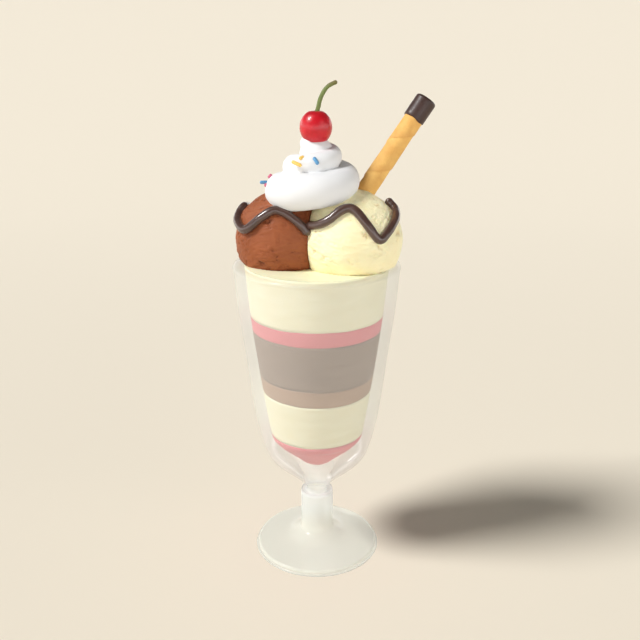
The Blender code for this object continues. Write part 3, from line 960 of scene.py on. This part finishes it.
def waferFinish():
    # baked wafer: golden, browner along its lapped edge, with a fine crumb
    skin = Finish("rolledWafer", IOR=1.4)
    phase = skin.node("ShaderNodeAttribute", {"attribute_name": "lapPhase"}, output=2)
    baked = skin.noise(8 * mm, detail=4, roughness=0.6)
    crumb = skin.noise(0.8 * mm, detail=3, roughness=0.7)
    edge = skin.span(phase, 0.80, 0.99)
    colour = skin.mixed(skin.span(baked, 0.3, 0.7), paint(221, 165, 86), paint(241, 194, 112))
    colour = skin.mixed(edge * 0.4, colour, paint(206, 140, 72))
    colour = skin.mixed(skin.span(crumb, 0.55, 0.75) * 0.25, colour, paint(216, 156, 86))
    bump = skin.bumps(crumb, 0.2 * mm)
    return skin.wear(Base_Color=colour, Roughness=0.5 + 0.25 * crumb, Normal=bump)


def alongWafer(points):
    # points made upright, with the wafer's entry at the origin, moved to where the wafer leans
    turn = Vector((0, 0, 1)).rotation_difference(Vector(wafer["lean"])).to_matrix()
    return points @ np.array(turn).T + np.array(wafer["entry"])


def makeWafer():
    finish = waferFinish()
    keys = ("radius", "lap", "pitch", "waves", "sides", "steps")
    sizes = {key: wafer[key] for key in keys}
    length = wafer["buried"] + wafer["shown"] + wafer["insideDip"]
    piece = waferTree().grow("rolledWafer", finish=finish, length=length, **sizes)
    points = pointsOf(piece.data)
    points[:, 2] += length / 2 - wafer["buried"]
    movePoints(piece.data, alongWafer(points))
    hand(piece, finish, "wafer", "wafer_stick")


def dipMesh():
    # a closed coat round the wafer's end: a drippy lower edge, a domed tip
    top = wafer["shown"] + wafer["dipLength"]
    radius, domeSteps = wafer["dipRadius"], 9
    rows = [[(0, 0, top - wafer["dipLength"] + 1.5 * mm)]]
    angles = [math.tau * j / 96 for j in range(96)]

    def edge(angle):
        return top - wafer["dipLength"] + wafer["drip"] * (ripple(angle, 9, (2, 3, 5)) - 0.6)

    profile = [(0.80, 0.0), (0.90, -0.1), (0.96, 0.02), (0.99, 0.25), (1.0, 0.6)]
    for share, lift in profile:
        rows.append([(radius * share * math.cos(a), radius * share * math.sin(a),
                      edge(a) + lift * mm) for a in angles])
    low, high = 1.2 * mm, wafer["dipLength"] - 1.6 * mm
    base = top - wafer["dipLength"]
    for i in range(1, 15):
        rise = low + (high - low) * i / 14
        blend = (i / 14) ** 0.7
        rows.append([
            (radius * (1 + 0.012 * ripple(a + i * 0.12, 4)) * math.cos(a),
             radius * (1 + 0.012 * ripple(a + i * 0.12, 4)) * math.sin(a),
             (edge(a) + 0.6 * mm) * (1 - blend) + (base + rise) * blend) for a in angles
        ])
    for i in range(1, domeSteps):
        turn = math.pi / 2 * i / domeSteps
        share = 0.66 + 0.34 * math.cos(turn)
        rows.append([(radius * share * math.cos(a), radius * share * math.sin(a),
                      base + high + (wafer["dipLength"] - high) * math.sin(turn)) for a in angles])
    rows.append([(radius * 0.3 * math.cos(a), radius * 0.3 * math.sin(a), top) for a in angles])
    rows.append([(0, 0, top)])
    mesh = skinOver(rows, "dippedTip")
    movePoints(mesh, alongWafer(pointsOf(mesh)))
    return mesh


def dipFinish():
    # set dark chocolate: satin, with a faint bloom
    skin = Finish("darkChocolate", IOR=1.5, Coat_IOR=1.4, Coat_Roughness=0.2)
    bloom = skin.noise(6 * mm, detail=3)
    fine = skin.noise(1.0 * mm, detail=2)
    colour = skin.mixed(bloom, paint(48, 26, 20), paint(66, 40, 31))
    bump = skin.bumps(bloom + fine * 0.2, 0.25 * mm)
    return skin.wear(Base_Color=colour, Roughness=0.4 + 0.16 * fine, Coat_Weight=0.25 * bloom,
                     Normal=bump)


makeWafer()
hand(addPiece("dippedTip", dipMesh()), dipFinish(), "dark_chocolate", "wafer_dip")


# Sprinkles, strewn on the whipped cream: each lies from one point towards another, in mm.
sprinkles = {
    "radius": 0.95 * mm,
    "yellow": [((-12.6, -14.2, 233.6), (-7.5, -16.8, 231.6)),
               ((-8.8, -13.2, 234.7), (-6.4, -12.0, 235.6)), ((20.6, 1.6, 225.4), (21.6, 4.8, 224.6))],
    "blue": [((-1.4, -14.8, 235.7), (0.9, -17.0, 232.4)), ((-30.1, 0.0, 220.8), (-25.8, 0.0, 220.9))],
    "pink": [((-25.4, 0.0, 223.0), (-23.7, 0.0, 225.0)), ((-27.6, -2.5, 219.8), (-24.9, -2.8, 219.7))],
}
sprinkleColours = {"yellow": (244, 196, 76), "blue": (62, 142, 192), "pink": (206, 70, 112)}


def sprinkleTree():
    # capsules on the points, each turned to its own direction and stretched to its own length
    tree = Grower("sprinkles", radius=0.9 * mm)
    given = tree.given
    values = {"Segments": 14, "Rings": 11, "Radius": given["radius"]}
    ball = tree.node("GeometryNodeMeshUVSphere", values=values)
    x, y, z = tree.parts(tree.place)
    side = tree.math("SIGN", z)
    far = tree.node("ShaderNodeMath", {"operation": "COMPARE"}, {0: z, 1: 0.0, 2: 1e-6})
    spread = side * (1.0 - far) * given["radius"]
    values = {"Geometry": ball, "Offset": tree.joined(0.0, 0.0, spread * 1.8)}
    capsule = tree.node("GeometryNodeSetPosition", values=values)
    settings = {"data_type": "FLOAT_VECTOR"}
    lie = tree.node("GeometryNodeInputNamedAttribute", settings, {"Name": "lie"})
    values = {"Vector": lie}
    turned = tree.node("FunctionNodeAlignRotationToVector", {"axis": "Z"}, values)
    length = tree.node("GeometryNodeInputNamedAttribute", values={"Name": "stretch"})
    size = tree.joined(1.0, 1.0, length)
    values = {"Points": given["Geometry"], "Instance": capsule, "Rotation": turned, "Scale": size}
    return tree.close(tree.node("GeometryNodeInstanceOnPoints", values=values))


def sprinkleFinish(name):
    skin = Finish(name + "Sprinkles", IOR=1.45, Coat_Weight=0.5, Coat_Roughness=0.15)
    sugar = skin.noise(0.6 * mm, detail=2)
    colour = paint(*sprinkleColours[name])
    dusty = skin.mixed(0.12, colour, (1.0, 1.0, 1.0))
    bump = skin.bumps(sugar, 0.04 * mm)
    return skin.wear(Base_Color=skin.mixed(sugar, colour, dusty), Roughness=0.3 + 0.2 * sugar,
                     Normal=bump)


def makeSprinkles(name):
    ends = np.array(sprinkles[name]) * mm
    mesh = bpy.data.meshes.new(name)
    mesh.from_pydata([tuple(point) for point in ends.mean(axis=1)], [], [])
    lie = mesh.attributes.new("lie", "FLOAT_VECTOR", "POINT")
    lie.data.foreach_set("vector", (ends[:, 1] - ends[:, 0]).ravel())
    stretch = mesh.attributes.new("stretch", "FLOAT", "POINT")
    lengths = np.linalg.norm(ends[:, 1] - ends[:, 0], axis=1)
    stretch.data.foreach_set("value", lengths / (5.6 * sprinkles["radius"]))
    finish = sprinkleFinish(name)
    piece = sprinkleTree().grow(name + "Sprinkles", mesh, finish=finish, radius=sprinkles["radius"])
    hand(piece, finish, "whipped_cream", "whipped_cream")


for name in sprinkleColours:
    makeSprinkles(name)


# The studio: a pale floor that rises gently far behind, one soft key light and low fills.
studio = {
    "floor": (242, 232, 213),
    "air": [(0.0, 1.0), (0.15, 1.0), (0.3, 0.05), (1.0, 0.015)],  # height of the sky, brightness
    "airStrength": 2.1,
    "lamps": {  # strength, degrees above the floor, degrees round from the front, softness
        "key": (3.12, 48.5, -76, 17),
        "sideFill": (0.5, 14, 50, 50),
    },
}


def makeFloor():
    rows = []
    for i in range(41):
        y = -1.5 + 15 * i / 40
        rise = 0.1 * max(0.0, y - 0.9) ** 1.04
        rows.append([(x, y, rise - 0.02 * mm) for x in (-8.0, 0.0, 8.0)])
    bm = bmesh.new()
    lines = [[bm.verts.new(point) for point in row] for row in rows]
    for near, far in zip(lines, lines[1:]):
        for j in range(2):
            bm.faces.new((near[j], near[j + 1], far[j + 1], far[j]))
    mesh = bpy.data.meshes.new("studioFloor")
    bm.to_mesh(mesh)
    bm.free()
    mesh.shade_smooth()
    skin = Finish("studioFloor", Roughness=0.9)
    skin.shader.inputs["Specular IOR Level"].default_value = 0.1
    # painted light: the floor is painted a little darker near the front and lighter far behind, with
    # faint random blotches
    near, far = [paint(*[c + more for c in studio["floor"]]) for more in (-2, 5)]
    distance = skin.span(skin.parts(skin.place)[1], -0.1, 1.0) + 0.1 * skin.noise(0.6, detail=1)
    mesh.materials.append(skin.wear(Base_Color=skin.mixed(skin.clamped(distance), near, far)))
    floor = addPiece("studioFloor", mesh)


def aim(obj, place, target):
    obj.location = place
    obj.rotation_euler = (Vector(target) - Vector(place)).to_track_quat("-Z", "Y").to_euler()


def addSun(name, strength, rise, turn, softness):
    light = bpy.data.lights.new(name, "SUN")
    light.energy = strength
    light.angle = math.radians(softness)
    lamp = bpy.data.objects.new(name, light)
    bpy.context.scene.collection.objects.link(lamp)
    rise, turn = math.radians(rise), math.radians(turn)
    flat = math.cos(rise)
    aim(lamp, (math.sin(turn) * flat, -math.cos(turn) * flat, math.sin(rise)), (0, 0, 0))


def lightStudio():
    world = bpy.data.worlds.new("studioAir")
    bpy.context.scene.world = world
    world.use_nodes = True
    air = Nodes(world.node_tree)
    way = air.node("ShaderNodeTexCoord", output="Generated")
    stops = [(height, (light, light, light)) for height, light in studio["air"]]
    glow = air.node("ShaderNodeValToRGB", {"stops": stops}, {"Fac": air.parts(way)[2]})
    background = world.node_tree.nodes["Background"]
    air.feed(background.inputs["Color"], glow)
    background.inputs["Strength"].default_value = studio["airStrength"]
    for name, numbers in studio["lamps"].items():
        addSun(name, *numbers)


def placeCamera():
    lens = bpy.data.cameras.new("camera")
    lens.sensor_width, lens.lens = 36, 43.4
    camera = bpy.data.objects.new("camera", lens)
    bpy.context.scene.collection.objects.link(camera)
    camera.location = (0.0018, -0.4106, 0.2831)
    camera.rotation_euler = (math.radians(71.26), 0, 0)
    bpy.context.scene.camera = camera


makeFloor()
lightStudio()
placeCamera()
bpy.context.scene.view_settings.view_transform = "Standard"
